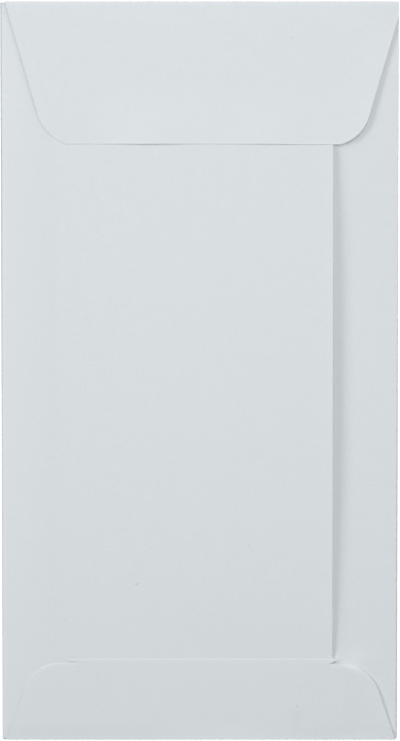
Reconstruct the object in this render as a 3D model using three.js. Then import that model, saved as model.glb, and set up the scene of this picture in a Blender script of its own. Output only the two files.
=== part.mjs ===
// A pocket envelope in white wove paper, lying on its front panel with the seam side up. It is one
// folded blank: a front panel, a wide back panel from the left fold, a side flap from the right
// fold that lies under it, a bottom flap glued over both, and a seal flap that is folded down over
// the mouth and not stuck. Millimetres and degrees. X runs across the envelope, Y from the bottom
// fold to the top fold, Z up from the table. The origin is the middle of the outline, on the table.
import * as THREE from "three";

// Folded envelope
const envelopeWidth = 88.7;
const envelopeLength = 165.2;

// Paper and adhesives
const paperThickness = 0.12;
const seamGlueThickness = 0.04;
const bottomGlueThickness = 0.04;
const gumThickness = 0.04;

// Clearances
const pocketGap = 0.2; // the empty pocket stands this far open
const flapClearance = 0.1; // between the dry gum and the back panel
const filmGap = 0.01; // between the gum and the bowed flap that carries it
const bottomEdgeGap = 0.1; // between the back layers and the inside of the bottom fold

// Side seam
const seamFromRight = 14.56; // free edge of the back panel
const sideFlapFromLeft = 12.5; // free edge of the side flap, inside
const seamLipWidth = 4; // bare strip of the back panel beside the glue
const seamLipLift = 0.5; // how far the strip's edge curls up at the middle of its length
const seamGlueWidth = 7;
const seamGlueEndGap = 3; // from the glue's ends to the panel's ends

// Curved throat of the back layers, which the seal flap covers
const throatDepth = 4.6; // at its lowest, below the top fold
const throatLowFromLeft = 40;
const throatRadius = 340;
const shoulderWidth = 3; // beside each side fold, where the throat's end runs up to the top fold
const shoulderGap = 0.1;

// Seal flap
const flapDepth = 31.6; // from the top fold to the straight edge
const flapShift = 0.92; // the flap sits this far right of the middle
const flapSlant = 16.4; // of its sides
const flapTurn = 0.15; // its sides lean this much further left, as folded
const flapCornerRadius = 8.9;
const flapCornerTrim = 0.25; // the straight edge cuts the round corners this far short
const gumWidth = 12;
const gumInset = 3; // from the flap's edge

// Bottom flap
const bottomFlapDepth = 18.38;
const bottomFlapInset = 0.5; // of its sides at the fold
const bottomFlapShift = 0.22;
const bottomFlapSlant = 20;
const bottomCornerRadius = 10.3;
const spurHeight = 1.05; // from the corners' tops to the straight edge
const spurLength = 2.65;
const notchLength = 2.2; // from a corner's top to the root of the spur
const cornerStop = 0.03; // the corner's curve ends this far below its top
const bottomGlueWidth = 8;
const bottomGlueInset = 3; // from the flap's edge
const bottomGlueBreak = 0.5; // bare paper on each side of the seam's edge

// Grid steps
const foldSteps = 5;
const throatSteps = 10;
const seamLipSteps = 4;
const liftSteps = 8;
const flapSteps = 6;
const cornerSteps = 5;

// Levels of the layers' undersides
const sideFlapLevel = paperThickness + pocketGap;
const seamGlueLevel = sideFlapLevel + paperThickness;
const backPanelLevel = seamGlueLevel + seamGlueThickness;
const backPanelTop = backPanelLevel + paperThickness;
const bottomFlapLevel = backPanelTop + bottomGlueThickness;
const gumLevel = backPanelTop + flapClearance;
const sealFlapLevel = gumLevel + gumThickness + filmGap;

// Lines of the plan
const leftSide = -envelopeWidth / 2;
const rightSide = envelopeWidth / 2;
const bottomSide = -envelopeLength / 2;
const topSide = envelopeLength / 2;
const leftCrease = leftSide + foldRadius(backPanelLevel);
const rightCrease = rightSide - foldRadius(sideFlapLevel);
const bottomCrease = bottomSide + foldRadius(bottomFlapLevel);
const topCrease = topSide - foldRadius(sealFlapLevel);
const seamEdge = rightSide - seamFromRight;
const seamLipStart = seamEdge - seamLipWidth;
const sideFlapEdge = leftSide + sideFlapFromLeft;
const backBottom = bottomCrease + bottomEdgeGap;
const throatLow = topSide - throatDepth;
const bottomFlapEdge = bottomSide + bottomFlapDepth;

// Outer radius of the half-round fold that joins the front panel to a layer at this level.
function foldRadius(level) {
  return (level + paperThickness) / 2;
}

// Top of the back layers at x: the throat's arc, with a shoulder beside each side fold.
function throatAt(x) {
  const fromLow = x - leftSide - throatLowFromLeft;
  const arc = throatLow + throatRadius - Math.sqrt(throatRadius ** 2 - fromLow ** 2);
  const fromCrease = Math.min(x - leftCrease, rightCrease - x);
  const shoulder = THREE.MathUtils.clamp(1 - fromCrease / shoulderWidth, 0, 1);
  return THREE.MathUtils.lerp(arc, topCrease - shoulderGap, shoulder);
}

// Lift of the seam's edge at y: a parabola from the bottom flap to the throat. The seal flap
// rides on that edge, so it bows by the same amount.
function liftAt(y) {
  const along = THREE.MathUtils.clamp((y - bottomFlapEdge) / (throatLow - bottomFlapEdge), 0, 1);
  return seamLipLift * 4 * along * (1 - along);
}

// The side of a flap, as the distance in from the envelope's side at a depth from the fold. It
// runs straight at a slant, then round a corner whose furthest point is reach from the fold.
function flapSide(inset, slant, radius, reach) {
  const angle = THREE.MathUtils.degToRad(slant);
  const centreDepth = reach - radius;
  const centreIn = inset + centreDepth * Math.tan(angle) + radius / Math.cos(angle);
  const cornerDepth = centreDepth + radius * Math.sin(angle);
  const straightAt = (depth) => inset + depth * Math.tan(angle);
  const roundAt = (depth) => centreIn - Math.sqrt(radius ** 2 - (depth - centreDepth) ** 2);
  const insetAt = (depth) => (depth <= cornerDepth ? straightAt(depth) : roundAt(depth));
  return { insetAt, cornerDepth, centreIn };
}

// The same for the bottom flap: past its corner it steps in to a notch and back out along a spur.
function bottomFlapSide(inset) {
  const reach = bottomFlapDepth - spurHeight;
  const corner = flapSide(inset, bottomFlapSlant, bottomCornerRadius, reach);
  const notchIn = corner.centreIn + notchLength;
  const spurAt = (depth) => notchIn - (spurLength * (depth - reach)) / spurHeight;
  const insetAt = (depth) => (depth < reach ? corner.insetAt(depth) : spurAt(depth));
  return { insetAt, cornerDepth: corner.cornerDepth, reach };
}

function spread(from, to, steps) {
  return Array.from({ length: steps + 1 }, (_, i) => from + ((to - from) * i) / steps);
}

// Depths along a flap: even down its slanted sides, then closer towards the end of its corners.
function flapDepths(root, corner, end) {
  const slanted = spread(root, corner, flapSteps);
  const angles = spread(0, Math.PI / 2, cornerSteps).slice(1);
  return [...slanted, ...angles.map((angle) => corner + (end - corner) * Math.sin(angle))];
}

// A closed sheet on a grid of columns, left to right, and rows, from low y to high y.
// place(column, row) gives the point on its underside.
function sheetGeometry(columns, rows, thickness, place) {
  const across = columns.length - 1;
  const along = rows.length - 1;
  const sheet = new THREE.BoxGeometry(across, along, 1, across, along, 1);
  const points = sheet.getAttribute("position");
  for (let i = 0; i < points.count; i += 1) {
    const column = columns[Math.round(points.getX(i) + across / 2)];
    const row = rows[Math.round(points.getY(i) + along / 2)];
    const [x, y, z] = place(column, row);
    points.setXYZ(i, x, y, points.getZ(i) > 0 ? z + thickness : z);
  }
  return sheet;
}

// A flat sheet with straight edges.
function flatGeometry(left, right, bottom, top, level, thickness) {
  return sheetGeometry([left, right], [bottom, top], thickness, (x, y) => [x, y, level]);
}

// A half-round fold from the front panel up to a layer at this level, bulging towards +X and
// running along -Y from the origin.
function foldGeometry(level, length) {
  const outer = foldRadius(level);
  const section = new THREE.Shape();
  section.absarc(0, 0, outer, -Math.PI / 2, Math.PI / 2, false);
  section.absarc(0, 0, outer - paperThickness, Math.PI / 2, -Math.PI / 2, true);
  const options = { depth: length, bevelEnabled: false, curveSegments: foldSteps };
  return new THREE.ExtrudeGeometry(section, options).rotateX(Math.PI / 2);
}

const paper = { color: 0xdce1e4, roughness: 0.85, metalness: 0 };
const driedGlue = { color: 0xe2e2dc, roughness: 0.5, metalness: 0 };
const dryGum = { color: 0xe4e2d6, roughness: 0.3, metalness: 0 };

function addPiece(group, name, geometry, finish) {
  const mesh = new THREE.Mesh(geometry, new THREE.MeshStandardMaterial(finish));
  mesh.name = name;
  group.add(mesh);
  return mesh;
}

function addFold(group, name, level, length, start, turn) {
  const fold = addPiece(group, name, foldGeometry(level, length), paper);
  fold.position.set(start.x, start.y, foldRadius(level));
  fold.rotation.z = turn;
}

function addFrontPanel(group) {
  const panel = flatGeometry(leftCrease, rightCrease, bottomCrease, topCrease, 0, paperThickness);
  addPiece(group, "front_panel", panel, paper);
}

// The back layers end in the throat's arc, and the back panel's seam lip curls up.
function addBackLayers(group) {
  const liftRows = spread(bottomFlapEdge, throatLow, liftSteps).slice(0, -1);
  const rows = [backBottom, ...liftRows, topSide];
  const flatColumns = [leftCrease, ...spread(leftCrease + shoulderWidth, seamLipStart, throatSteps)];
  const lipColumns = spread(seamLipStart, seamEdge, seamLipSteps).slice(1);
  const curlAt = (x) => Math.max(0, (x - seamLipStart) / seamLipWidth) ** 2;
  const placeBack = (x, row) => {
    const y = Math.min(row, throatAt(x));
    return [x, y, backPanelLevel + curlAt(x) * liftAt(y)];
  };
  const back = sheetGeometry([...flatColumns, ...lipColumns], rows, paperThickness, placeBack);
  addPiece(group, "back_panel", back, paper);

  const sideColumns = [...spread(sideFlapEdge, rightCrease - shoulderWidth, throatSteps), rightCrease];
  const placeSide = (x, row) => [x, Math.min(row, throatAt(x)), sideFlapLevel];
  const side = sheetGeometry(sideColumns, [backBottom, topSide], paperThickness, placeSide);
  addPiece(group, "side_flap", side, paper);
}

function addSeamGlue(group) {
  const left = seamLipStart - seamGlueWidth;
  const bottom = backBottom + seamGlueEndGap;
  const top = throatLow - seamGlueEndGap;
  const glue = flatGeometry(left, seamLipStart, bottom, top, seamGlueLevel, seamGlueThickness);
  addPiece(group, "side_seam_glue", glue, driedGlue);
}

function addBottomFlap(group) {
  const leftEdge = bottomFlapSide(bottomFlapInset + bottomFlapShift);
  const rightEdge = bottomFlapSide(bottomFlapInset - bottomFlapShift);
  const leftAt = (depth) => Math.max(leftCrease, leftSide + leftEdge.insetAt(depth));
  const rightAt = (depth) => Math.min(rightCrease, rightSide - rightEdge.insetAt(depth));
  const place = (share, depth) => {
    const x = THREE.MathUtils.lerp(leftAt(depth), rightAt(depth), share);
    return [x, bottomSide + depth, bottomFlapLevel];
  };
  const root = foldRadius(bottomFlapLevel);
  const curve = flapDepths(root, leftEdge.cornerDepth, leftEdge.reach - cornerStop);
  const rows = [...curve, leftEdge.reach, bottomFlapDepth];
  addPiece(group, "bottom_flap", sheetGeometry([0, 1], rows, paperThickness, place), paper);

  const glueTop = bottomFlapDepth - bottomGlueInset;
  const glueRows = spread(glueTop - bottomGlueWidth, glueTop, cornerSteps);
  const onBack = (share, depth) => {
    const left = leftAt(depth) + bottomGlueInset;
    const x = THREE.MathUtils.lerp(left, seamEdge - bottomGlueBreak, share);
    return [x, bottomSide + depth, backPanelTop];
  };
  const backGlue = sheetGeometry([0, 1], glueRows, bottomGlueThickness, onBack);
  addPiece(group, "bottom_glue_on_back", backGlue, driedGlue);

  const onSide = (share, depth) => {
    const right = rightAt(depth) - bottomGlueInset;
    const x = THREE.MathUtils.lerp(seamEdge + bottomGlueBreak, right, share);
    return [x, bottomSide + depth, seamGlueLevel];
  };
  const sideGlue = sheetGeometry([0, 1], glueRows, bottomFlapLevel - seamGlueLevel, onSide);
  addPiece(group, "bottom_glue_on_side", sideGlue, driedGlue);
}

function addSealFlap(group) {
  const reach = flapDepth + flapCornerTrim;
  const leftEdge = flapSide(flapShift, flapSlant - flapTurn, flapCornerRadius, reach);
  const rightEdge = flapSide(-flapShift, flapSlant + flapTurn, flapCornerRadius, reach);
  const leftAt = (depth) => Math.max(leftCrease, leftSide + leftEdge.insetAt(depth));
  const rightAt = (depth) => Math.min(rightCrease, rightSide - rightEdge.insetAt(depth));
  const placeAt = (level, margin) => (share, depth) => {
    const x = THREE.MathUtils.lerp(leftAt(depth) + margin, rightAt(depth) - margin, share);
    const y = topSide - depth;
    return [x, y, level + liftAt(y)];
  };
  const root = foldRadius(sealFlapLevel);
  const rows = flapDepths(root, leftEdge.cornerDepth, flapDepth).reverse();
  const flap = sheetGeometry([0, 1], rows, paperThickness, placeAt(sealFlapLevel, 0));
  addPiece(group, "seal_flap", flap, paper);

  const gumEnd = flapDepth - gumInset;
  const gumRows = spread(gumEnd, gumEnd - gumWidth, flapSteps);
  const gum = sheetGeometry([0, 1], gumRows, gumThickness, placeAt(gumLevel, gumInset));
  addPiece(group, "seal_gum", gum, dryGum);

  const foldStart = { x: leftAt(root), y: topCrease };
  const foldLength = rightAt(root) - foldStart.x;
  addFold(group, "top_fold", sealFlapLevel, foldLength, foldStart, Math.PI / 2);
}

function addGluedFolds(group) {
  const leftStart = { x: leftCrease, y: backBottom };
  const leftLength = throatAt(leftCrease) - backBottom;
  addFold(group, "left_fold", backPanelLevel, leftLength, leftStart, Math.PI);

  const rightStart = { x: rightCrease, y: throatAt(rightCrease) };
  addFold(group, "right_fold", sideFlapLevel, rightStart.y - backBottom, rightStart, 0);

  const bottomStart = { x: rightCrease, y: bottomCrease };
  const bottomLength = rightCrease - leftCrease;
  addFold(group, "bottom_fold", bottomFlapLevel, bottomLength, bottomStart, -Math.PI / 2);
}

const envelope = new THREE.Group();
addFrontPanel(envelope);
addBackLayers(envelope);
addSeamGlue(envelope);
addBottomFlap(envelope);
addSealFlap(envelope);
addGluedFolds(envelope);

export default envelope;
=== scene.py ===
import bpy
import numpy as np
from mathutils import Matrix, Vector


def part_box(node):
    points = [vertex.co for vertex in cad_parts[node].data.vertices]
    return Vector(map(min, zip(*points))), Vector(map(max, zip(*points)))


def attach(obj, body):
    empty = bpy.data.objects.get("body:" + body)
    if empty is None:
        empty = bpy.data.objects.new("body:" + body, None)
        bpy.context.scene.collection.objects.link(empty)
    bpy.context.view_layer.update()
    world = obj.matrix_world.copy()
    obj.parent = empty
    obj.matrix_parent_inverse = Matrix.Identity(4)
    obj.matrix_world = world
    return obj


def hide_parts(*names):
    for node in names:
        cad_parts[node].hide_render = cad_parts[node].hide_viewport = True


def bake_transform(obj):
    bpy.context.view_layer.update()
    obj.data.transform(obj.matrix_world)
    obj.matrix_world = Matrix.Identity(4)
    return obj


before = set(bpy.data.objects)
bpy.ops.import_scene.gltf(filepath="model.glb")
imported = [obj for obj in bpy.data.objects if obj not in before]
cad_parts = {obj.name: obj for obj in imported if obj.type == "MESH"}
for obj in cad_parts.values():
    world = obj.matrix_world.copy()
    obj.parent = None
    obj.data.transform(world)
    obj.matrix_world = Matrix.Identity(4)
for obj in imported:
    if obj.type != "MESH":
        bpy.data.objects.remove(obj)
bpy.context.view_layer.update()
metresPerMm = 0.001
print("frame loaded:", len(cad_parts), "nodes")


def nodeBox(node):
    # lowest and highest corner of a CAD node, in millimetres
    low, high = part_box(node)
    return np.array(low) / metresPerMm, np.array(high) / metresPerMm


# Lines and levels of the folded envelope, all read from the frame
frontLow, frontHigh = nodeBox("front_panel")
leftCrease, bottomCrease = frontLow[0], frontLow[1]
rightCrease, topCrease = frontHigh[0], frontHigh[1]
leftSide, rightSide = nodeBox("left_fold")[0][0], nodeBox("right_fold")[1][0]
bottomSide, topSide = nodeBox("bottom_fold")[0][1], nodeBox("top_fold")[1][1]
paperThickness = frontHigh[2]
seamEdge = nodeBox("back_panel")[1][0]
sideFlapEdge = nodeBox("side_flap")[0][0]
backBottom, backTop = nodeBox("left_fold")[0][1], nodeBox("left_fold")[1][1]
bottomFlapEdge = nodeBox("bottom_flap")[1][1]
bottomFlapDepth = bottomFlapEdge - bottomSide
sealFlapEdge = nodeBox("seal_flap")[0][1]
sealFlapDepth = topSide - sealFlapEdge
glueLow, glueHigh = nodeBox("side_seam_glue")
frontLevel = paperThickness / 2
sideFlapLevel = nodeBox("side_flap")[0][2] + paperThickness / 2
backLevel = nodeBox("back_panel")[0][2] + paperThickness / 2
bottomFlapLevel = nodeBox("bottom_flap")[0][2] + paperThickness / 2
sealFlapLevel = nodeBox("top_fold")[1][2] - paperThickness / 2


# Shared shapes


def evenRamp(values, start, end):
    # 0 before start, 1 after end, and even between them; start may be the higher one
    return np.clip((values - start) / (end - start), 0, 1)


def smoothRamp(values, start, end):
    # the same with a smooth cubic step
    share = evenRamp(values, start, end)
    return share * share * (3 - 2 * share)


def bell(values, middle, width):
    return np.exp(-(((values - middle) / width) ** 2))


def spread(start, end, step):
    # evenly spaced numbers from start to end, about step apart
    count = max(2, int(round(abs(end - start) / step)) + 1)
    return np.linspace(start, end, count)


def cornerRows(start, end, count):
    # numbers from start to end that come closer together, for the rows of a rounded corner
    return start + (end - start) * np.sin(np.linspace(0, np.pi / 2, count))


flapColumns = {"count": 150, "rimShare": 0.006, "rimCount": 4}


def sharesAcross():
    # shares from 0 to 1 for a flap's columns, with a few close ones in a narrow rim at each side
    rim, close = flapColumns["rimShare"], flapColumns["rimCount"]
    middle = np.linspace(rim, 1 - rim, flapColumns["count"])[1:-1]
    return np.concatenate([np.linspace(0, rim, close), middle, np.linspace(1 - rim, 1, close)])


def roundFold(level, steps):
    # a half circle from the front panel up to a sheet at level: how far out from the crease each
    # point lies, its height, and its share of the way. The sheet itself starts at the upper end.
    radius = (level - frontLevel) / 2
    angles = np.linspace(-np.pi / 2, np.pi / 2, steps)[:-1]
    return radius * np.cos(angles), frontLevel + radius + radius * np.sin(angles), angles / np.pi + 0.5


def flapSide(depth, inset, slant, radius, reach):
    # distance in from the envelope's side: a slanted line, then a circle tangent to it whose
    # furthest point is reach from the fold
    angle = np.radians(slant)
    centreDepth = reach - radius
    centreIn = inset + centreDepth * np.tan(angle) + radius / np.cos(angle)
    past = np.clip(depth - centreDepth, -radius, radius)
    roundIn = centreIn - np.sqrt(radius**2 - past**2)
    straightIn = inset + depth * np.tan(angle)
    return np.where(depth <= centreDepth + radius * np.sin(angle), straightIn, roundIn), centreIn


def addObject(name, data):
    added = bpy.data.objects.new(name, data)
    bpy.context.scene.collection.objects.link(added)
    return added


sharpAngle = 0.7  # in radians; a sheet's faces meet its rim at more than this


def paperSheet(name, mid, tone, thickness=paperThickness, worn=None):
    # mid is a grid of points on the sheet's middle surface: both faces lie half a thickness off
    # it along the grid's normals, and a rim joins them. The upper face is lower where it is worn.
    alongStep = np.gradient(mid, axis=0)
    acrossStep = np.gradient(mid, axis=1)
    normals = np.cross(acrossStep, alongStep)
    normals /= np.linalg.norm(normals, axis=2, keepdims=True)
    rows, columns = mid.shape[:2]
    upperGap = np.full((rows, columns, 1), thickness / 2)
    if worn is not None:
        upperGap = upperGap - worn[:, :, None]
    upper = mid + normals * upperGap
    lower = mid - normals * thickness / 2
    points = np.concatenate([upper.reshape(-1, 3), lower.reshape(-1, 3)]) * metresPerMm

    index = np.arange(rows * columns).reshape(rows, columns)
    corners = [index[:-1, :-1], index[:-1, 1:], index[1:, 1:], index[1:, :-1]]
    upperFaces = np.stack([corner.ravel() for corner in corners], axis=1)
    lowerFaces = upperFaces[:, ::-1] + rows * columns
    loop = np.concatenate([index[0, :-1], index[:-1, -1], index[-1, :0:-1], index[:0:-1, 0]])
    after = np.roll(loop, -1)
    rimFaces = np.stack([loop, loop + rows * columns, after + rows * columns, after], axis=1)
    faces = np.concatenate([upperFaces, lowerFaces, rimFaces])

    mesh = bpy.data.meshes.new(name)
    mesh.from_pydata(points.tolist(), [], faces.tolist())
    mesh.polygons.foreach_set("use_smooth", np.full(len(faces), True))
    mesh.polygons.foreach_set("material_index", (np.arange(len(faces)) >= 2 * len(upperFaces)).astype(int))
    mesh.set_sharp_from_angle(angle=sharpAngle)
    # the tone attribute carries the sheet's painted light and shade and what shows through it
    toneValues = np.concatenate([tone.ravel(), tone.ravel()]).astype(np.float32)
    mesh.attributes.new("tone", "FLOAT", "POINT").data.foreach_set("value", toneValues)
    mesh.validate()
    return addObject(name, mesh)


# Relief of the empty pocket

relief = {
    "puff": 0.55,  # the back stands this much higher at the seam than at the left fold
    "puffEarly": 0.4,  # share of it that is gained beside the left fold
    "puffEarlyWidth": 12.0,
    "puffBottomY": (-88.0, -16.0),  # it grows from the bottom fold between these
    "puffTopStart": 12.0,  # y from which it fades towards the mouth
    "puffAtMouth": 0.15,  # share of it that is left at the top fold
    "dropGap": 0.1,  # the side flap comes down from this far past the glue
    "dropPastSeam": 4.0,  # to this far past the seam
    "endLift": 0.19,  # the strip beside the seam rises this much to meet the bottom flap
    "endLiftBefore": 0.2,  # from this far before the seam
    "endLiftPast": 1.2,  # highest this far past it, and level again after the width
    "endLiftWidth": 12.0,
    "endLiftAbove": (2.2, -0.5),  # heights above the bottom flap's edge
    "lipLift": 0.05,  # curl of the seam's bare lip
    "lipWidth": 5.0,
    "fadeWidth": 12.0,  # waves and lifts come in over this width beside a fold or the bottom flap
    "rightFadeWidth": 8.0,
    "waveHeight": 0.012,
    "waveLengths": ((11.0, 23.0), (17.0, 13.0), (19.0, 9.0)),  # across and along, for each radian
    "waveShifts": (1.0, 2.1, 3.7),
    "waveBend": 0.7,  # how far the third wave's crests bend
    "backWaves": 0.4,  # where the waves stand on the back panel
    "stripWaves": 1.9,  # and on the strip beside the seam
    "stripWaveShare": 0.8,  # they are lower there
}


def wavesAt(x, y, place):
    # three long crossing waves, as in paper that has lain in a stack
    (across1, along1), (across2, along2), (across3, along3) = relief["waveLengths"]
    shift1, shift2, shift3 = relief["waveShifts"]
    first = np.sin(x / across1 + y / along1 + shift1 * place)
    second = np.sin(x / across2 - y / along2 + shift2 * place)
    third = np.sin(y / along3 + relief["waveBend"] * np.sin(x / across3) + shift3 * place)
    return relief["waveHeight"] * (first + second + third)


def fromLeftFold(x):
    return smoothRamp(x, leftCrease, leftCrease + relief["fadeWidth"])


def aboveBottomFlap(y):
    return smoothRamp(y, bottomFlapEdge, bottomFlapEdge + relief["fadeWidth"])


def puffAt(x, y):
    # a rounded rise beside the left fold and an even one up to the seam, both fading towards the
    # bottom fold and the mouth
    early = 1 - (1 - evenRamp(x, leftCrease, leftCrease + relief["puffEarlyWidth"])) ** 2
    even = evenRamp(x, leftCrease, seamEdge)
    across = relief["puffEarly"] * early + (1 - relief["puffEarly"]) * even
    fromBottom = smoothRamp(y, *relief["puffBottomY"])
    toMouth = 1 - (1 - relief["puffAtMouth"]) * smoothRamp(y, relief["puffTopStart"], topCrease)
    return relief["puff"] * across * fromBottom * toMouth


def backRise(x, y):
    # the puff, with the bare lip's curl and the waves where the bottom flap doesn't hold them down
    lip = evenRamp(x, seamEdge - relief["lipWidth"], seamEdge) ** 2
    waves = wavesAt(x, y, relief["backWaves"]) * fromLeftFold(x)
    return puffAt(x, y) + (relief["lipLift"] * lip + waves) * aboveBottomFlap(y)


def endRise(x, y):
    # where the strip beside the seam comes up to the bottom flap
    highest = seamEdge + relief["endLiftPast"]
    across = smoothRamp(x, seamEdge - relief["endLiftBefore"], highest)
    across = across - smoothRamp(x, highest, highest + relief["endLiftWidth"])
    upward = smoothRamp(y - bottomFlapEdge, *relief["endLiftAbove"])
    fromFold = smoothRamp(y, bottomCrease, bottomCrease + relief["fadeWidth"])
    return relief["endLift"] * across * upward * fromFold


def sideRise(x, y):
    # it rises as the back panel over it does, then comes down to the strip, with waves of its own
    under = 1 - smoothRamp(x, glueHigh[0] + relief["dropGap"], seamEdge + relief["dropPastSeam"])
    free = aboveBottomFlap(y)
    hidden = puffAt(x, y) + wavesAt(x, y, relief["backWaves"]) * free
    edgeFade = 1 - smoothRamp(x, rightCrease - relief["rightFadeWidth"], rightCrease)
    waves = wavesAt(x, y, relief["stripWaves"]) * edgeFade * free * relief["stripWaveShare"]
    return hidden * under + waves * (1 - under) + endRise(x, y)


# Painted highlights at the bottom flap's right shoulder and notch, which more than one piece shows

glow = {
    "crest": 0.095,
    "crestX": (33.6, 3.0),
    "crestOutside": (-0.1, 0.9),  # from the flap's rounded edge
    "crestPastSeam": (0.3, 3.0),
    "line": 0.07,  # more of it right on that edge
    "lineStartX": (33.0, 35.0),
    "lineEndX": (39.2, 37.3),
    "lineOutside": (0.0, 0.3),
    "around": 0.04,
    "aroundX": (35.2, 4.2),
    "aroundY": (-64.0, 2.2),
    "notch": 0.3,
    "notchPastSeam": (0.5, 0.9),
    "notchAbove": (-0.25, 0.35),  # from the flap's straight edge
}


def glowAt(x, y):
    # painted highlight where the strip beside the seam bends down under the flap's shoulder: a crest
    # and a line along its rounded edge, and a wider patch above it
    outside, _, _ = cornerPlace(x, y, 1)
    crest = bell(x, *glow["crestX"]) * bell(outside, *glow["crestOutside"])
    crest = crest * smoothRamp(x - seamEdge, *glow["crestPastSeam"])
    line = smoothRamp(x, *glow["lineStartX"]) * smoothRamp(x, *glow["lineEndX"])
    line = line * bell(outside, *glow["lineOutside"])
    around = bell(x, *glow["aroundX"]) * bell(y, *glow["aroundY"]) * (x > seamEdge)
    return glow["crest"] * crest + glow["line"] * line + glow["around"] * around


def notchLightAt(x, y):
    # painted light in the notch beside the seam, where the spur shades the paper
    inNotch = bell(x - seamEdge, *glow["notchPastSeam"]) * bell(y - bottomFlapEdge, *glow["notchAbove"])
    return glow["notch"] * inNotch


# Front panel

frontPanel = {"gridStep": 1.5}


def makeFrontPanel():
    # flat, from crease to crease
    acrossX = spread(leftCrease, rightCrease, frontPanel["gridStep"])
    x, y = np.meshgrid(acrossX, spread(bottomCrease, topCrease, frontPanel["gridStep"]))
    mid = np.stack([x, y, np.full_like(x, frontLevel)], axis=2)
    return paperSheet("frontPanel", mid, np.ones_like(x))


# Back panel

throat = {
    "depth": 4.6,
    "lowFromLeft": 40.0,
    "radius": 340.0,
    "shoulderIn": (0.8, 1.8),  # from the side creases
    "shoulderRise": 0.28,
}
backPanel = {
    "gridStep": 0.7,
    "lipStep": 0.25,
    "creaseStep": 0.12,
    "creaseWidth": 1.2,
    "foldSteps": 9,
    "foldEndGap": 0.08,  # the left fold and the paper beside it end this far from the bottom side
    "foldEndPast": (0.2, 0.35),  # and this far past the crease the end goes up to the bottom fold
    "doubledLight": 0.012,  # it is this much lighter where the side flap doubles it
    "doubledPast": (-0.35, 0.35),  # from the side flap's edge
    "doubledLowShare": 0.35,  # share of that step at the bottom
    "doubledY": (-70.0, 10.0),
    "ridgeLight": 0.004,  # painted highlight on the ridge beside that step
    "ridgePast": (1.6, 0.3),
    "lipHighlight": 0.003,  # painted highlight on the seam's lip, where it curls up
    "lipHighlightBeforeSeam": (2.9, 1.6),
    "leftLight": 0.011,  # painted light beside the left fold, where the panel rises from it
    "leftLightIn": (13.0, 1.0),
    "topLight": 0.016,  # and this much more painted light beside the seal flap
    "topLightIn": (9.0, 2.0),
    "topLightY": (40.0, 65.0),
    "crestLight": 0.015,  # painted highlight on the left fold's shoulder
    "crestIn": (0.75, 0.3),
    "creaseShade": 0.45,  # painted shade: the dark line at the left side
    "creaseDarkIn": (0.42, 0.18),
    "creaseLowShare": 0.45,  # share of it at the bottom
    "creaseY": (-75.0, 60.0),
    "lowDark": 0.011,  # above the bottom flap
    "lowDarkX": (8.0, 15.0),
    "lowDarkAbove": (7.0, 8.0),
}
backRows = np.linspace(0, 1, int((topSide - backBottom) / backPanel["gridStep"]))[:, None]


def throatAt(x):
    # a shallow arc, with a shoulder up to the top fold beside each side fold
    fromLow = x - leftSide - throat["lowFromLeft"]
    arc = topSide - throat["depth"] + throat["radius"] - np.sqrt(throat["radius"] ** 2 - fromLow**2)
    fromCrease = np.minimum(x - leftCrease, rightCrease - x)
    top = backTop + throat["shoulderRise"]
    return top + (arc - top) * smoothRamp(fromCrease, *throat["shoulderIn"])


def backTone(x, y):
    # the side flap shows through; painted highlights on the ridge beside it, on the seam's lip and on the
    # left fold's shoulder, painted light beside the left fold, the seal flap and in the notch, painted
    # shade along the left side, and a darker patch above the bottom flap
    lowStep, lowCrease = backPanel["doubledLowShare"], backPanel["creaseLowShare"]
    stepFade = lowStep + (1 - lowStep) * smoothRamp(y, *backPanel["doubledY"])
    doubled = smoothRamp(x - sideFlapEdge, *backPanel["doubledPast"])
    tone = 1 + backPanel["doubledLight"] * (doubled - 1) * stepFade
    tone += backPanel["ridgeLight"] * bell(x - sideFlapEdge, *backPanel["ridgePast"]) * stepFade
    tone += backPanel["lipHighlight"] * smoothRamp(seamEdge - x, *backPanel["lipHighlightBeforeSeam"])
    tone += backPanel["leftLight"] * smoothRamp(x - leftSide, *backPanel["leftLightIn"])
    atTop = smoothRamp(x - leftSide, *backPanel["topLightIn"]) * smoothRamp(y, *backPanel["topLightY"])
    tone += backPanel["topLight"] * atTop
    tone += backPanel["crestLight"] * bell(x - leftSide, *backPanel["crestIn"])
    creaseFade = lowCrease + (1 - lowCrease) * evenRamp(y, *backPanel["creaseY"])
    tone -= backPanel["creaseShade"] * creaseFade * smoothRamp(x - leftSide, *backPanel["creaseDarkIn"])
    aboveFlap = bell(x, *backPanel["lowDarkX"]) * bell(y - bottomFlapEdge, *backPanel["lowDarkAbove"])
    tone -= backPanel["lowDark"] * aboveFlap
    return tone + notchLightAt(x, y)


def makeBackPanel():
    # the left fold's half circle, then the panel as far as the seam
    foldOut, foldZ, _ = roundFold(backLevel, backPanel["foldSteps"])
    lipStart = seamEdge - relief["lipWidth"]
    besideCrease = leftCrease + backPanel["creaseWidth"]
    creaseX = spread(leftCrease, besideCrease, backPanel["creaseStep"])[:-1]
    flatX = spread(besideCrease, lipStart, backPanel["gridStep"])[:-1]
    panelX = np.concatenate([creaseX, flatX, spread(lipStart, seamEdge, backPanel["lipStep"])])
    columnX = np.concatenate([leftCrease - foldOut, panelX])
    columnZ = np.concatenate([foldZ, np.full_like(panelX, backLevel)])
    x = np.broadcast_to(columnX, (backRows.size, columnX.size))
    lowEnd = bottomSide + backPanel["foldEndGap"]
    pastFold = smoothRamp(columnX - leftCrease, *backPanel["foldEndPast"])
    start = lowEnd + (backBottom - lowEnd) * pastFold
    y = start + (throatAt(np.maximum(columnX, leftCrease)) - start) * backRows
    onPanel = np.arange(columnX.size) >= foldOut.size
    z = columnZ + np.where(onPanel, backRise(x, y), 0)
    return paperSheet("backPanel", np.stack([x, y, z], axis=2), backTone(x, y))


# Side flap

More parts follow.
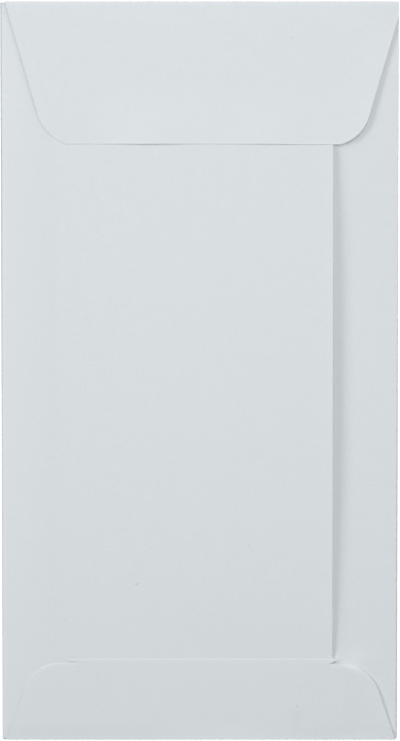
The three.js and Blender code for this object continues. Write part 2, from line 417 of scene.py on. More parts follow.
sideFlap = {
    "rimLight": 0.05,  # painted highlight at the top of the right fold
    "rimDark": 0.25,  # painted shade: less this much towards the bottom
    "rimIn": (0.36, 0.18),
    "rimDarkY": (45.0, -30.0),
    "stripDark": 0.009,  # the strip beside the seam, towards the top
    "stripDarkY": (5.0, 35.0),
    "seamDark": 0.025,  # and painted shadow right beside the seam, at mid height
    "seamDarkPast": (0.8, 1.5),
    "seamDarkY": (-5.0, 28.0),
    "besideFlapLight": 0.045,  # painted light along the bottom flap's right side, over its shadow
    "besideFlapOut": (0.4, 0.9),
    "besideFlapY": (-66.5, -68.0),
}


def sideTone(x, y):
    # painted light and shade: a highlight at the top of the right fold and shade lower down, a darker
    # strip beside the seam and painted shadow right beside it, painted highlights at the bottom flap's
    # shoulder and notch, and painted light along its right side
    rim = sideFlap["rimLight"] - sideFlap["rimDark"] * smoothRamp(y, *sideFlap["rimDarkY"])
    tone = 1 + glowAt(x, y) + rim * smoothRamp(rightSide - x, *sideFlap["rimIn"])
    tone -= sideFlap["stripDark"] * smoothRamp(y, *sideFlap["stripDarkY"])
    besideSeam = bell(x - seamEdge, *sideFlap["seamDarkPast"]) * bell(y, *sideFlap["seamDarkY"])
    tone -= sideFlap["seamDark"] * besideSeam
    _, flapRight = bottomFlapEnds(y - bottomSide)
    besideFlap = bell(x - flapRight, *sideFlap["besideFlapOut"]) * smoothRamp(y, *sideFlap["besideFlapY"])
    return tone + sideFlap["besideFlapLight"] * besideFlap + notchLightAt(x, y)


def makeSideFlap():
    # from its free edge inside, under the back panel, to the right fold's half circle
    foldOut, foldZ, _ = roundFold(sideFlapLevel, backPanel["foldSteps"])
    besideCrease = rightCrease - backPanel["creaseWidth"]
    flatX = spread(sideFlapEdge, besideCrease, backPanel["gridStep"])[:-1]
    panelX = np.concatenate([flatX, spread(besideCrease, rightCrease, backPanel["creaseStep"])])
    columnX = np.concatenate([panelX, rightCrease + foldOut[::-1]])
    columnZ = np.concatenate([np.full_like(panelX, sideFlapLevel), foldZ[::-1]])
    x = np.broadcast_to(columnX, (backRows.size, columnX.size))
    y = backBottom + (throatAt(np.minimum(columnX, rightCrease)) - backBottom) * backRows
    onPanel = np.arange(columnX.size) < panelX.size
    z = columnZ + np.where(onPanel, sideRise(x, y), 0)
    return paperSheet("sideFlap", np.stack([x, y, z], axis=2), sideTone(x, y))


# Bottom flap

bottomFlap = {
    # each side's inset at the fold, slant, corner radius, distance in to its notch, and the
    # height and length of the spur above it
    "left": {
        "inset": 0.72,
        "slant": 20.0,
        "radius": 8.1,
        "notchIn": 16.44,
        "spur": 0.98,
        "spurLength": 2.65,
    },
    "right": {
        "inset": 0.43,
        "slant": 18.9,
        "radius": 9.2,
        "notchIn": 15.0,
        "spur": 1.17,
        "spurLength": 2.25,
    },
    "spurDrop": 0.42,  # the right spur's tip lies this much low
    "gridStep": 0.6,
    "foldSteps": 11,
    "cornerDepth": 6.0,  # its rows come closer together from this far before the left notch
    "cornerRows": 26,
    "notchRows": 6,
    "notchGap": 0.02,  # a row lies this far before each notch
    "riseWidth": 2.0,  # it comes up to the back panel over this much beside its crease
    "stepWidth": 6.0,  # it comes down from the back panel to the strip over this width
    "stepWidthAtEdge": 3.4,
    "stepNarrowsIn": (7.0, 2.0),  # from its straight edge
    "settle": 0.032,  # its bare edge lies this much lower than its glued part
    "settleIn": (2.5, 0.3),
    "spurLift": 0.045,  # the left spur stands up this much
    "spurLiftWidth": 1.6,
    "spurLiftPast": (-0.1, 0.2),
    "rightLift": 0.06,  # its right side stands up this much, most below the corner
    "rightLiftIn": (3.5, 0.0),
    "rightLiftY": (-73.0, 4.5),
    "wornEdgeHighlight": 0.08,  # painted highlight: its worn edges are this much lighter where they face up the sheet
    "wornDepth": 0.07,  # and this much thinner
    "wornWidth": 0.32,
    "wornPower": 1.5,  # how fast the wear goes down the rounded corners
    "wornOutside": 0.05,  # it stops this far outside them
    "wornPastNotch": 0.3,  # and this far past a notch
    # painted highlight on the right corner's worn edge
    "rightWornHighlight": 0.04,
    "rightWornDepth": 0.095,  # thinner at the right corner, over a wider band
    "rightWornWidth": 0.65,
    "tone": 0.995,  # of the whole flap, before what follows
    "sideDark": 0.08,  # painted shade along its left side, as far as the corner
    "sideDarkWidth": 0.2,
    "sideDarkPast": (1.0, -2.0),
    "rightLight": 0.02,  # painted light beside its right edge
    "rightLightIn": (1.2, 1.3),
    "stepLight": 0.012,  # and painted light where it comes down past the seam
    "stepLightPast": (3.2, 2.6),
    "stepLightY": (-67.0, -70.0),
    # painted light on the bottom fold, which faces away from the light above
    "foldLight": 0.22,
    "foldLightUp": (0.5, 0.12),
    "baseDark": 0.022,  # painted shade above the fold, where it slopes down to it
    "baseDarkUp": (4.5, 2.0),
    "baseLessX": (7.0, 16.0),  # the painted shade turns to painted light here
    "baseLess": 1.9,
    "creaseShade": 0.028,  # painted shade of a short crease right of its middle
    "creaseSlope": 0.3,
    "creaseX": (45.3, 1.3),  # x less the slope times y
    "creaseY": (-78.0, 2.4),
}
glueGap = bottomFlapLevel - backLevel - paperThickness
smallestAway = 1e-6  # so that nothing is divided by zero at a corner's centre


def notchDepth(side):
    # depth from the bottom fold to the notch on one side
    return bottomFlapDepth - side["spur"]


bottomCornerStart = notchDepth(bottomFlap["left"]) - bottomFlap["cornerDepth"]


def bottomFlapSide(depth, side):
    # the rounded side, then in to a notch and out along the spur
    reach = notchDepth(side)
    sideIn, _ = flapSide(depth, side["inset"], side["slant"], side["radius"], reach)
    spurShare = (depth - reach) / side["spur"]
    return np.where(depth < reach, sideIn, side["notchIn"] - side["spurLength"] * spurShare)


def bottomFlapEnds(depth):
    # x of the flap's left and right edge at a depth from the bottom fold
    left = leftSide + bottomFlapSide(depth, bottomFlap["left"])
    right = rightSide - bottomFlapSide(depth, bottomFlap["right"])
    return np.maximum(left, leftCrease), np.minimum(right, rightCrease)


def bottomFlapRise(x, y):
    # it follows the puffed back panel as far as the seam, then comes down to the strip beside
    # it, over a shorter width near its edge
    onStrip = sideFlapLevel - backLevel + sideRise(x, y)
    atEdge = smoothRamp(bottomFlapEdge - y, *bottomFlap["stepNarrowsIn"])
    width = bottomFlap["stepWidth"] + (bottomFlap["stepWidthAtEdge"] - bottomFlap["stepWidth"]) * atEdge
    share = smoothRamp((x - seamEdge) / width, 0, 1)
    return puffAt(x, y) * (1 - share) + onStrip * share


def bottomFlapLift(x, y, depth):
    # its bare edge settles, and its left spur and its right side stand up
    left, right = bottomFlapEnds(depth)
    nearEdge = np.minimum(np.minimum(x - left, right - x), bottomFlapEdge - y)
    settle = bottomFlap["settle"] * smoothRamp(nearEdge, *bottomFlap["settleIn"])
    leftShape = bottomFlap["left"]
    spurMiddle = leftSide + leftShape["notchIn"] - leftShape["spurLength"] / 2
    upSpur = smoothRamp(depth - notchDepth(leftShape), *bottomFlap["spurLiftPast"])
    spurLift = bottomFlap["spurLift"] * bell(x, spurMiddle, bottomFlap["spurLiftWidth"]) * upSpur
    besideRight = smoothRamp(right - x, *bottomFlap["rightLiftIn"]) * bell(y, *bottomFlap["rightLiftY"])
    return spurLift + bottomFlap["rightLift"] * besideRight - settle


def spurDropAt(x, depth):
    # how low the right spur lies, growing up it and towards its tip
    shape = bottomFlap["right"]
    upSpur = smoothRamp(depth, notchDepth(shape), bottomFlapDepth)
    tipX = rightSide - (shape["notchIn"] - shape["spurLength"])
    return bottomFlap["spurDrop"] * upSpur * smoothRamp(x, seamEdge, tipX)


def cornerPlace(x, y, side):
    # how far outside the rounded corner on one side, -1 or 1, how far its edge faces up the
    # sheet there, 0 to 1, and 1 as far in as its notch
    shape = bottomFlap["left"] if side < 0 else bottomFlap["right"]
    reach, radius = notchDepth(shape), shape["radius"]
    _, centreIn = flapSide(reach, shape["inset"], shape["slant"], radius, reach)
    centreX = leftSide + centreIn if side < 0 else rightSide - centreIn
    outward = (x - centreX) * side
    upward = np.maximum(y - bottomSide - reach + radius, 0)
    away = np.hypot(np.maximum(outward, 0), upward) + smallestAway
    notch = centreIn - shape["notchIn"]
    toNotch = smoothRamp(outward, notch - bottomFlap["wornPastNotch"], notch)
    return away - radius, upward / away, toNotch


def cornerBand(x, y, side, width):
    # a band just inside the rounded corner, and on under its notch
    outside, facingUp, toNotch = cornerPlace(x, y, side)
    inside = outside < bottomFlap["wornOutside"]
    return bell(outside, 0, width) * inside * facingUp ** bottomFlap["wornPower"] * toNotch


def wornEdgesAndHighlights(x, y):
    # two bands, 0 to 1, for the worn edges' thinning and their painted highlight: along the straight
    # edge and the left corner, and at the right corner
    straightBand = bell(bottomFlapEdge - y, 0, bottomFlap["wornWidth"])
    leftBand = np.maximum(straightBand, cornerBand(x, y, -1, bottomFlap["wornWidth"]))
    return leftBand, cornerBand(x, y, 1, bottomFlap["rightWornWidth"])


def bottomFlapTone(x, y, depth, onFlap):
    # painted highlights on its worn edges and its shoulder, painted light on its fold, beside its right
    # edge and where it slopes, and painted shade along its left side, above its fold and in a crease
    left, right = bottomFlapEnds(depth)
    leftBand, rightBand = wornEdgesAndHighlights(x, y)
    tone = bottomFlap["tone"] + glowAt(x, y)
    tone += np.maximum(bottomFlap["wornEdgeHighlight"] * leftBand, bottomFlap["rightWornHighlight"] * rightBand)
    alongSlant = smoothRamp(depth - bottomCornerStart, *bottomFlap["sideDarkPast"]) * onFlap
    tone -= bottomFlap["sideDark"] * bell(x, left, bottomFlap["sideDarkWidth"]) * alongSlant
    tone += bottomFlap["rightLight"] * bell(right - x, *bottomFlap["rightLightIn"]) * onFlap
    onStep = bell(x - seamEdge, *bottomFlap["stepLightPast"]) * smoothRamp(y, *bottomFlap["stepLightY"])
    tone += bottomFlap["stepLight"] * onStep
    tone += bottomFlap["foldLight"] * smoothRamp(y - bottomSide, *bottomFlap["foldLightUp"])
    base = smoothRamp(y - bottomSide, *bottomFlap["baseDarkUp"])
    tone -= bottomFlap["baseDark"] * base * (1 - bottomFlap["baseLess"] * bell(x, *bottomFlap["baseLessX"]))
    crease = bell(x - bottomFlap["creaseSlope"] * y, *bottomFlap["creaseX"])
    return tone - bottomFlap["creaseShade"] * crease * bell(y, *bottomFlap["creaseY"])


def makeBottomFlap():
    # rows: the bottom fold's half circle, the slanted sides, the rounded corners up to the lower
    # notch, the stretch between the notches, and the spurs
    foldOut, foldZ, foldShare = roundFold(bottomFlapLevel, bottomFlap["foldSteps"])
    root = bottomCrease - bottomSide
    leftReach, rightReach = notchDepth(bottomFlap["left"]), notchDepth(bottomFlap["right"])
    lowNotch, highNotch = min(leftReach, rightReach), max(leftReach, rightReach)
    slanted = spread(root, bottomCornerStart, bottomFlap["gridStep"])[:-1]
    toLowNotch = cornerRows(bottomCornerStart, lowNotch - bottomFlap["notchGap"], bottomFlap["cornerRows"])
    toHighNotch = np.linspace(lowNotch, highNotch - bottomFlap["notchGap"], bottomFlap["notchRows"])
    spur = np.linspace(highNotch, bottomFlapDepth, bottomFlap["notchRows"])
    depth = np.concatenate([slanted, toLowNotch, toHighNotch, spur])
    rowY = np.concatenate([bottomCrease - foldOut, bottomSide + depth])
    rowZ = np.concatenate([foldZ, np.full_like(depth, bottomFlapLevel)])
    rowDepth = np.concatenate([np.full_like(foldOut, root), depth])[:, None]

    # the fold narrows from the front panel's width to the flap's
    left, right = bottomFlapEnds(rowDepth)
    upFold = np.concatenate([foldShare, np.ones_like(depth)])[:, None]
    foldLeft = leftCrease + (left - leftCrease) * upFold
    foldRight = rightCrease + (right - rightCrease) * upFold
    x = foldLeft + (foldRight - foldLeft) * sharesAcross()
    y = np.broadcast_to(rowY[:, None], x.shape)
    onFlap = smoothRamp(y, bottomCrease, bottomCrease + bottomFlap["riseWidth"]) * (rowDepth > root)
    z = rowZ[:, None] + onFlap * (bottomFlapRise(x, y) + bottomFlapLift(x, y, rowDepth))
    mid = np.stack([x, y - spurDropAt(x, rowDepth), z], axis=2)

    leftBand, rightBand = wornEdgesAndHighlights(x, y)
    worn = np.maximum(bottomFlap["wornDepth"] * leftBand, bottomFlap["rightWornDepth"] * rightBand)
    return paperSheet("bottomFlap", mid, bottomFlapTone(x, y, rowDepth, onFlap), worn=worn)


# Seal flap

sealFlap = {
    # each side's inset at the fold, its slant, and its corner's radius and trim
    "left": {"inset": 0.83, "slant": 16.25, "radius": 10.2, "trim": 0.55},
    "right": {"inset": -0.97, "slant": 16.55, "radius": 8.9, "trim": 0.25},
    "sideGap": 0.02,  # it ends at least this far inside the envelope's right side
    "gridStep": 0.6,
    "foldSteps": 17,
    "cornerDepth": 8.0,  # its rows come closer together from this far before its edge
    "cornerRows": 30,
    "lipDrop": 0.02,  # its straight edge lies this much low, and this much more at the right
    "lipDropRight": 0.13,
    "lipDropX": (13.0, 26.0),
    "puffDepth": (0.0, 6.0),  # it takes on the pocket's puff over these depths from the fold
    "waveDepth": (1.0, 8.0),  # and its waves over these
    "settle": 0.14,  # its edge lies this much closer to the back panel than its fold does
    "settlePower": 6,
    "settleLess": 0.45,  # share of it that is missing on the seam's lip
    "settleLessPast": (-6.0, -1.0),
    "bulges": ((-11.0, 0.2), (15.5, 0.13)),  # x and height of each at the edge
    "bulgeWidth": 6.8,
    "bulgePower": 5,
    "pastSeam": (-1.0, 8.0),  # from the seam's edge and from the fold
    "pastDepth": (1.0, 10.0),
    "sideDrop": 0.16,  # it sinks this much there
    "cornerLift": 0.24,  # and its right corner curls up again
    "cornerLiftPower": 2,
    "layerLight": 0.002,  # three layers let less light through than two
    "throatLight": 0.007,  # painted light above the throat's edge
    "throatLightAbove": (-0.4, 0.3),
    # painted highlight on the top fold
    "foldLight": 0.03,
    "foldLightIn": (1.2, 0.3),
    "sideDark": 0.24,  # painted shade along its left side, as far as the corner
    "sideDarkWidth": 0.13,
    "sideDarkEnd": 2.0,
    # painted light over the strip beside the seam
    "pastLight": 0.018,
    "slopeLight": 0.02,  # painted light where it comes down past the seam
    "slopeLightPast": (3.0, 3.2),
    "slopeLightDepth": (0.5, 4.0),
    "lipLight": 0.017,  # painted light towards its straight edge
    "lipLightEven": 0.6,  # share of it that is even, and more over the bulges: share, x and width
    "lipLightBulges": ((0.6, -10.0, 11.0), (0.5, 15.5, 5.0)),
    "lipLightDepth": (15.0, 26.0),
    "lipLightX": (-27.0, -18.0),
    # painted highlight along its straight edge
    "edgeLight": 0.055,
    "edgeLightWidth": 0.5,
}


def sealFlapSide(depth, side):
    reach = sealFlapDepth + side["trim"]
    return flapSide(depth, side["inset"], side["slant"], side["radius"], reach)[0]


def sealFlapSides(depth):
    left = leftSide + sealFlapSide(depth, sealFlap["left"])
    right = rightSide - sealFlapSide(depth, sealFlap["right"])
    return np.maximum(left, leftCrease), np.minimum(right, rightSide - sealFlap["sideGap"])


def pastSeam(x, depth):
    # 0 over the back panel and 1 over the strip beside the seam
    return smoothRamp(x - seamEdge, *sealFlap["pastSeam"]) * smoothRamp(depth, *sealFlap["pastDepth"])


def sealFlapRise(x, depth):
    # it follows the puffed back panel, with two bulges at its edge, and sinks past the seam to a
    # corner that curls up. It settles less on the seam's lip.
    share = evenRamp(depth, 0, sealFlapDepth)
    y = topSide - depth
    past = pastSeam(x, depth)
    bulges = sum(height * bell(x, middle, sealFlap["bulgeWidth"]) for middle, height in sealFlap["bulges"])
    onLip = smoothRamp(x - seamEdge, *sealFlap["settleLessPast"])
    settle = sealFlap["settle"] * (1 - sealFlap["settleLess"] * onLip)
    edge = bulges * share ** sealFlap["bulgePower"] - settle * share ** sealFlap["settlePower"]
    waves = wavesAt(x, y, relief["backWaves"]) * fromLeftFold(x) * smoothRamp(depth, *sealFlap["waveDepth"])
    aside = sealFlap["cornerLift"] * share ** sealFlap["cornerLiftPower"] - sealFlap["sideDrop"]
    onBack = puffAt(x, y) * smoothRamp(depth, *sealFlap["puffDepth"]) + edge
    return onBack * (1 - past) + aside * past + waves


def sealFlapTone(x, y, depth):
    # the third layer that shows through it; painted light above the throat's edge, past the seam, on
    # its slope and towards its edge, painted highlights on its fold and straight edge, and painted
    # shade along its left side
    aboveThroat = smoothRamp(y - throatAt(x), *sealFlap["throatLightAbove"])
    tone = 1 + sealFlap["layerLight"] + sealFlap["throatLight"] * aboveThroat
    tone += sealFlap["foldLight"] * smoothRamp(topSide - y, *sealFlap["foldLightIn"])
    left, _ = sealFlapSides(depth)
    aboveCorner = smoothRamp(sealFlapDepth - depth, sealFlap["sideDarkEnd"], sealFlap["cornerDepth"])
    tone -= sealFlap["sideDark"] * bell(x, left, sealFlap["sideDarkWidth"]) * aboveCorner
    tone += sealFlap["pastLight"] * pastSeam(x, depth)
    onSlope = bell(x - seamEdge, *sealFlap["slopeLightPast"])
    tone += sealFlap["slopeLight"] * onSlope * smoothRamp(depth, *sealFlap["slopeLightDepth"])
    overBulges = sealFlap["lipLightEven"]
    for share, middle, width in sealFlap["lipLightBulges"]:
        overBulges = overBulges + share * bell(x, middle, width)
    nearLip = smoothRamp(depth, *sealFlap["lipLightDepth"]) * smoothRamp(x, *sealFlap["lipLightX"])
    tone += sealFlap["lipLight"] * overBulges * nearLip
    return tone + sealFlap["edgeLight"] * smoothRamp(sealFlapDepth - depth, sealFlap["edgeLightWidth"], 0)


def makeSealFlap():
    # the top fold's half circle, then the flap down to its straight edge
    foldOut, foldZ, _ = roundFold(sealFlapLevel, sealFlap["foldSteps"])
    root = topSide - topCrease
    cornerStart = sealFlapDepth - sealFlap["cornerDepth"]
    slanted = spread(root, cornerStart, sealFlap["gridStep"])[:-1]
    depth = np.concatenate([slanted, cornerRows(cornerStart, sealFlapDepth, sealFlap["cornerRows"])])
    rowY = np.concatenate([topCrease + foldOut, topSide - depth])
    rowZ = np.concatenate([foldZ, np.full_like(depth, sealFlapLevel)])
    rowDepth = np.concatenate([np.full_like(foldOut, root), depth])[:, None]
    left, right = sealFlapSides(rowDepth)
    x = left + (right - left) * sharesAcross()
    lipDrop = sealFlap["lipDrop"] + sealFlap["lipDropRight"] * smoothRamp(x, *sealFlap["lipDropX"])
    y = rowY[:, None] - lipDrop * (rowDepth - root) / (sealFlapDepth - root)
    z = rowZ[:, None] + np.where(rowDepth > root, sealFlapRise(x, rowDepth), 0)
    return paperSheet("sealFlap", np.stack([x, y, z], axis=2), sealFlapTone(x, y, rowDepth))


# Adhesives

gumFilm = {"gridStep": 1.0, "columns": 90, "gap": 0.01}
seamFilm = {"acrossStep": 1.0, "alongStep": 1.5}
bottomFilm = {"gridStep": 1.0, "columns": 70, "fill": 0.6}  # share of the gap that it fills


def makeSealGum():
    # a thin film that follows the flap's bow on its inner face
    low, high = nodeBox("seal_gum")
    thickness = nodeBox("seal_flap")[0][2] - low[2] - gumFilm["gap"]
    inset = sealFlapEdge - low[1]
    depth = spread(topSide - low[1], topSide - high[1], gumFilm["gridStep"])[:, None]
    left, right = sealFlapSides(depth)
    x = left - inset + (right - left + 2 * inset) * np.linspace(0, 1, gumFilm["columns"])
    y = topSide - depth + 0 * x
    level = sealFlapLevel - paperThickness / 2 - gumFilm["gap"] - thickness / 2
    z = level + sealFlapRise(x, depth)
    return paperSheet("sealGum", np.stack([x, y, z], axis=2), np.ones_like(x), thickness)


def makeSeamGlue():
    # a thin film between the side flap and the back panel, where both are raised together
    acrossX = spread(glueLow[0], glueHigh[0], seamFilm["acrossStep"])
    x, y = np.meshgrid(acrossX, spread(glueLow[1], glueHigh[1], seamFilm["alongStep"]))
    z = (glueLow[2] + glueHigh[2]) / 2 + sideRise(x, y)
    return paperSheet("seamGlue", np.stack([x, y, z], axis=2), np.ones_like(x), glueHigh[2] - glueLow[2])


def makeBottomGlue(name, node):
    # a film under the bottom flap on one side of the seam's edge, as far in from the flap's
    # rounded side as from its straight edge
    low, high = nodeBox(node)
    inset = bottomFlapEdge - high[1]
    depth = spread(low[1] - bottomSide, high[1] - bottomSide, bottomFilm["gridStep"])[:, None]
    left, right = bottomFlapEnds(depth)
    if low[0] > seamEdge:
        left, right = low[0] + 0 * left, right - inset
    else:
        left, right = left + inset, high[0] + 0 * right
    x = left + (right - left) * np.linspace(0, 1, bottomFilm["columns"])
    y = bottomSide + depth + 0 * x
    z = bottomFlapLevel - (paperThickness + glueGap) / 2 + bottomFlapRise(x, y)
    return paperSheet(name, np.stack([x, y, z], axis=2), np.ones_like(x), glueGap * bottomFilm["fill"])


# Materials

paperFinish = {
    "color": (0.674, 0.712, 0.736),
    "roughness": 0.9,
    "specular": 0.25,
    "mottleSize": 2.6,
    "mottleDetail": 3.0,
    "mottleDepth": 0.022,
    "fibreSize": 0.35,
    "fibreDetail": 4.0,
    "fibreDepth": 0.09,
    "bumpHeight": 0.038,
    "bumpStrength": 1.0,
}
# stray dark fibres in the sheet: x, y, radius, and how much darker they are
specks = (
    (20.5, 74.5, 0.28, 0.28),
    (-15.9, 58.7, 0.2, 0.24),
    (21.0, 56.3, 0.18, 0.2),
    (13.7, 54.3, 0.17, 0.24),
    (14.5, -22.9, 0.16, 0.17),
    (19.0, -24.7, 0.16, 0.15),
    (11.0, -38.8, 0.24, 0.18),
    (-14.2, -47.6, 0.34, 0.24),
    (-13.7, -47.4, 0.34, 0.2),
    (-30.0, -55.6, 0.18, 0.29),
    (21.9, -75.1, 0.26, 0.36),
)
edgeFinish = {
    # darker than the paper: painted shade on the cut edges
    "color": (0.6, 0.63, 0.65),
    "roughness": 1.0,
    "fibreSize": 0.08,
    "fibreDetail": 4.0,
    "fibreDepth": 0.12,
}
filmFinish = {"crackleDetail": 5.0, "crackleDepth": 0.06, "bumpStrength": 0.6}
gumFinish = {"color": (0.76, 0.75, 0.68), "roughness": 0.22, "crackleSize": 1.1, "bumpHeight": 0.006}
glueFinish = {"color": (0.77, 0.77, 0.74), "roughness": 0.5, "crackleSize": 2.0, "bumpHeight": 0.004}
noiseMiddle = 0.5  # a noise texture's mean


def addNode(tree, kind, inputs=None, **settings):
    node = tree.nodes.new(kind)
    for key, value in settings.items():
        setattr(node, key, value)
    for key, value in (inputs or {}).items():
        if isinstance(value, bpy.types.NodeSocket):
            tree.links.new(value, node.inputs[key])
        else:
            node.inputs[key].default_value = value
    return node


def mathNode(tree, operation, *values):
    return addNode(tree, "ShaderNodeMath", dict(enumerate(values)), operation=operation).outputs[0]


def newMaterial(name):
    material = bpy.data.materials.new(name)
    material.use_nodes = True
    tree = material.node_tree
    shader = tree.nodes["Principled BSDF"]
    objectPlace = tree.nodes.new("ShaderNodeTexCoord").outputs["Object"]
    return material, tree, shader, objectPlace


def noiseAt(tree, place, size, detail):
    values = {"Vector": place, "Scale": 1 / (size * metresPerMm), "Detail": detail}
    return addNode(tree, "ShaderNodeTexNoise", values).outputs[0]


def uneven(tree, noise, depth):
    # the noise about its middle, times depth
    return mathNode(tree, "MULTIPLY", mathNode(tree, "SUBTRACT", noise, noiseMiddle), depth)


def setColor(tree, shader, color, factor):
    # the colour times a grey factor
    shaded = addNode(tree, "ShaderNodeVectorMath", {0: color, 1: factor}, operation="MULTIPLY")
    tree.links.new(shaded.outputs[0], shader.inputs["Base Color"])


def setBump(tree, shader, noise, height, strength):
    values = {"Height": noise, "Distance": height * metresPerMm, "Strength": strength}
    tree.links.new(addNode(tree, "ShaderNodeBump", values).outputs[0], shader.inputs["Normal"])


def speckAt(tree, inPlan, centre, radius, depth):
    # depth at the centre, falling to nothing at the radius
    spot = (centre[0] * metresPerMm, centre[1] * metresPerMm, 0)
    away = addNode(tree, "ShaderNodeVectorMath", {0: inPlan, 1: spot}, operation="DISTANCE")
    values = {"Value": away.outputs["Value"], "From Min": 0.0, "From Max": radius * metresPerMm}
    return addNode(tree, "ShaderNodeMapRange", values | {"To Min": depth, "To Max": 0.0}).outputs[0]


def paperMaterial():
    # wove paper: each sheet's tone attribute (its painted light and shade and what shows through it), a
    # cloudy mottle, fine fibres, and the stray dark ones
    material, tree, shader, place = newMaterial("wovePaper")
    mottle = noiseAt(tree, place, paperFinish["mottleSize"], paperFinish["mottleDetail"])
    fibre = noiseAt(tree, place, paperFinish["fibreSize"], paperFinish["fibreDetail"])
    total = addNode(tree, "ShaderNodeAttribute", attribute_name="tone").outputs["Fac"]
    total = mathNode(tree, "ADD", total, uneven(tree, mottle, paperFinish["mottleDepth"]))
    total = mathNode(tree, "ADD", total, uneven(tree, fibre, paperFinish["fibreDepth"]))
    inPlan = addNode(tree, "ShaderNodeVectorMath", {0: place, 1: (1, 1, 0)}, operation="MULTIPLY").outputs[0]
    for x, y, radius, depth in specks:
        total = mathNode(tree, "SUBTRACT", total, speckAt(tree, inPlan, (x, y), radius, depth))
    setColor(tree, shader, paperFinish["color"], total)
    setBump(tree, shader, fibre, paperFinish["bumpHeight"], paperFinish["bumpStrength"])
    shader.inputs["Roughness"].default_value = paperFinish["roughness"]
    shader.inputs["Specular IOR Level"].default_value = paperFinish["specular"]
    return material


def cutEdgeMaterial():
    # the cut edge: rougher than the faces, a little darker as painted shade, with the sheet's fibres across
    # it
    material, tree, shader, place = newMaterial("cutPaper")
    fibre = noiseAt(tree, place, edgeFinish["fibreSize"], edgeFinish["fibreDetail"])
    setColor(tree, shader, edgeFinish["color"],
             mathNode(tree, "ADD", uneven(tree, fibre, edgeFinish["fibreDepth"]), 1))
    shader.inputs["Roughness"].default_value = edgeFinish["roughness"]
    return material


def filmMaterial(name, finish):
    # dried adhesive: a slightly uneven film with a fine crackle
    material, tree, shader, place = newMaterial(name)
    crackle = noiseAt(tree, place, finish["crackleSize"], filmFinish["crackleDetail"])
    setColor(tree, shader, finish["color"],
             mathNode(tree, "ADD", uneven(tree, crackle, filmFinish["crackleDepth"]), 1))
    setBump(tree, shader, crackle, finish["bumpHeight"], filmFinish["bumpStrength"])
    shader.inputs["Roughness"].default_value = finish["roughness"]
    return material


# Build the envelope

paper = paperMaterial()
cutPaper = cutEdgeMaterial()
gumMaterial = filmMaterial("dryGum", gumFinish)
glueMaterial = filmMaterial("driedGlue", glueFinish)


def placePiece(piece, material, replaced):
    piece.data.materials.append(material)
    piece.data.materials.append(cutPaper if material is paper else material)
    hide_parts(*replaced)
    return piece


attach(placePiece(makeFrontPanel(), paper, ["front_panel"]), "pocket")
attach(placePiece(makeBackPanel(), paper, ["back_panel", "left_fold"]), "pocket")
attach(placePiece(makeSideFlap(), paper, ["side_flap", "right_fold"]), "pocket")
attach(placePiece(makeBottomFlap(), paper, ["bottom_flap", "bottom_fold"]), "pocket")
print("pocket folded")

sealFlapPiece = placePiece(makeSealFlap(), paper, ["seal_flap", "top_fold"])
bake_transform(sealFlapPiece)
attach(placePiece(makeSealGum(), gumMaterial, ["seal_gum"]), "flap")
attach(placePiece(makeSeamGlue(), glueMaterial, ["side_seam_glue"]), "pocket")
for glueName, glueNode in (("glueOnBack", "bottom_glue_on_back"), ("glueOnSide", "bottom_glue_on_side")):
    bottomGlue = makeBottomGlue(glueName, glueNode)
    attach(placePiece(bottomGlue, glueMaterial, [glueNode]), "pocket")
print("seal flap and adhesives placed")

# Table, light and camera

table = {
    "size": 8.0,  # in metres
    "gap": 0.02,
    "cameraWhite": 1.5,  # as the camera sees it
    "bounceWhite": 0.7,  # and as it lights the envelope
}
world = {"cameraWhite": 1.0, "strength": 0.16}
lamps = {
    # places and sizes in metres, power in watts
    "keyFromLeft": {"place": (-2.5, 0.3, 0.67), "size": (2.0, 0.5), "power": 64.0},
    "softboxAtTop": {"place": (0.0, 0.452, 0.452), "size": (0.4, 0.25), "power": 1.43},
    "fillFromRight": {"place": (2.5, 0.0, 0.9), "size": (1.6, 1.2), "power": 24.0},
    "fillFromFront": {"place": (0.0, -2.5, 0.9), "size": (1.6, 1.2), "power": 14.0},
    "softboxOverhead": {"place": (0.0, 0.0, 0.32), "size": (0.08, 0.08), "power": 0.222},
}
camera = {
    "distance": 660.0,
    "tilt": 2.54,
    "targetX": 0.098,
    "targetY": 0.402,
    "lens": 143.33,
    "sensorWidth": 36.0,
    "clip": (0.01, 20.0),  # in metres
}


def whiteWhenSeen(tree, seenWhite, otherWhite):
    # one value for what the camera, a mirror or glass sees, and another for light that is sent on
    rays = addNode(tree, "ShaderNodeLightPath").outputs
    seen = mathNode(tree, "MAXIMUM", rays["Is Camera Ray"], rays["Is Glossy Ray"])
    seen = mathNode(tree, "MAXIMUM", seen, rays["Is Transmission Ray"])
    return mathNode(tree, "MULTIPLY_ADD", seen, seenWhite - otherWhite, otherWhite)


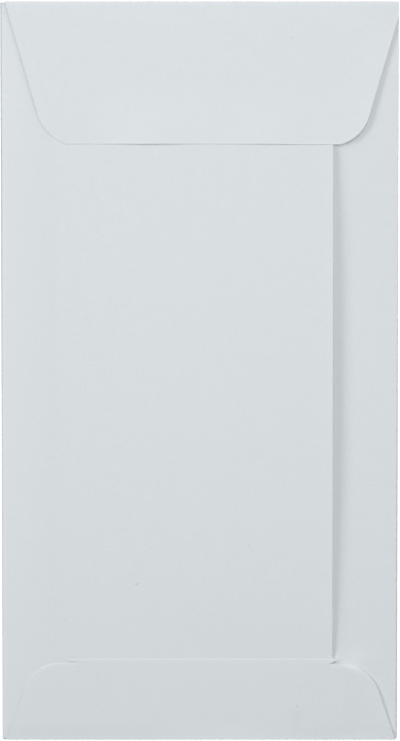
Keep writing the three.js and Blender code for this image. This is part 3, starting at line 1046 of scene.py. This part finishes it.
def makeTable():
    half = table["size"] / 2
    height = -table["gap"] * metresPerMm
    mesh = bpy.data.meshes.new("table")
    corners = [(-half, -half, height), (half, -half, height), (half, half, height), (-half, half, height)]
    mesh.from_pydata(corners, [], [(0, 1, 2, 3)])
    floor = addObject("table", mesh)
    material, tree, shader, _ = newMaterial("whiteTable")
    white = whiteWhenSeen(tree, table["cameraWhite"], table["bounceWhite"])
    diffuse = addNode(tree, "ShaderNodeBsdfDiffuse", {"Color": white})
    tree.nodes.remove(shader)
    tree.links.new(diffuse.outputs[0], tree.nodes["Material Output"].inputs["Surface"])
    mesh.materials.append(material)


def makeAreaLight(name, place, size, power):
    # a soft lamp that points at the envelope
    data = bpy.data.lights.new(name, "AREA")
    data.shape = "RECTANGLE"
    data.size, data.size_y = size
    data.energy = power
    lamp = addObject(name, data)
    lamp.location = place
    lamp.rotation_mode = "QUATERNION"
    lamp.rotation_quaternion = (Vector((0, 0, 0)) - Vector(place)).to_track_quat("-Z", "Y")


def makeWorld():
    studio = bpy.data.worlds.new("whiteStudio")
    studio.use_nodes = True
    tree = studio.node_tree
    background = tree.nodes["Background"]
    background.inputs["Color"].default_value = (1, 1, 1, 1)
    strength = whiteWhenSeen(tree, world["cameraWhite"], world["strength"])
    tree.links.new(strength, background.inputs["Strength"])
    bpy.context.scene.world = studio


def makeCamera():
    tilt = np.radians(camera["tilt"])
    target = np.array([camera["targetX"], camera["targetY"], 0]) * metresPerMm
    back = np.array([0, np.sin(tilt), np.cos(tilt)])
    data = bpy.data.cameras.new("overhead")
    data.lens = camera["lens"]
    data.sensor_width = camera["sensorWidth"]
    data.clip_start, data.clip_end = camera["clip"]
    view = addObject("overhead", data)
    view.location = target + back * camera["distance"] * metresPerMm
    view.rotation_euler = (-tilt, 0, 0)
    bpy.context.scene.camera = view


makeTable()
for lampName, lampValues in lamps.items():
    makeAreaLight(lampName, **lampValues)
makeWorld()
makeCamera()
bpy.context.scene.view_settings.view_transform = "Standard"
print("table, light and camera set")
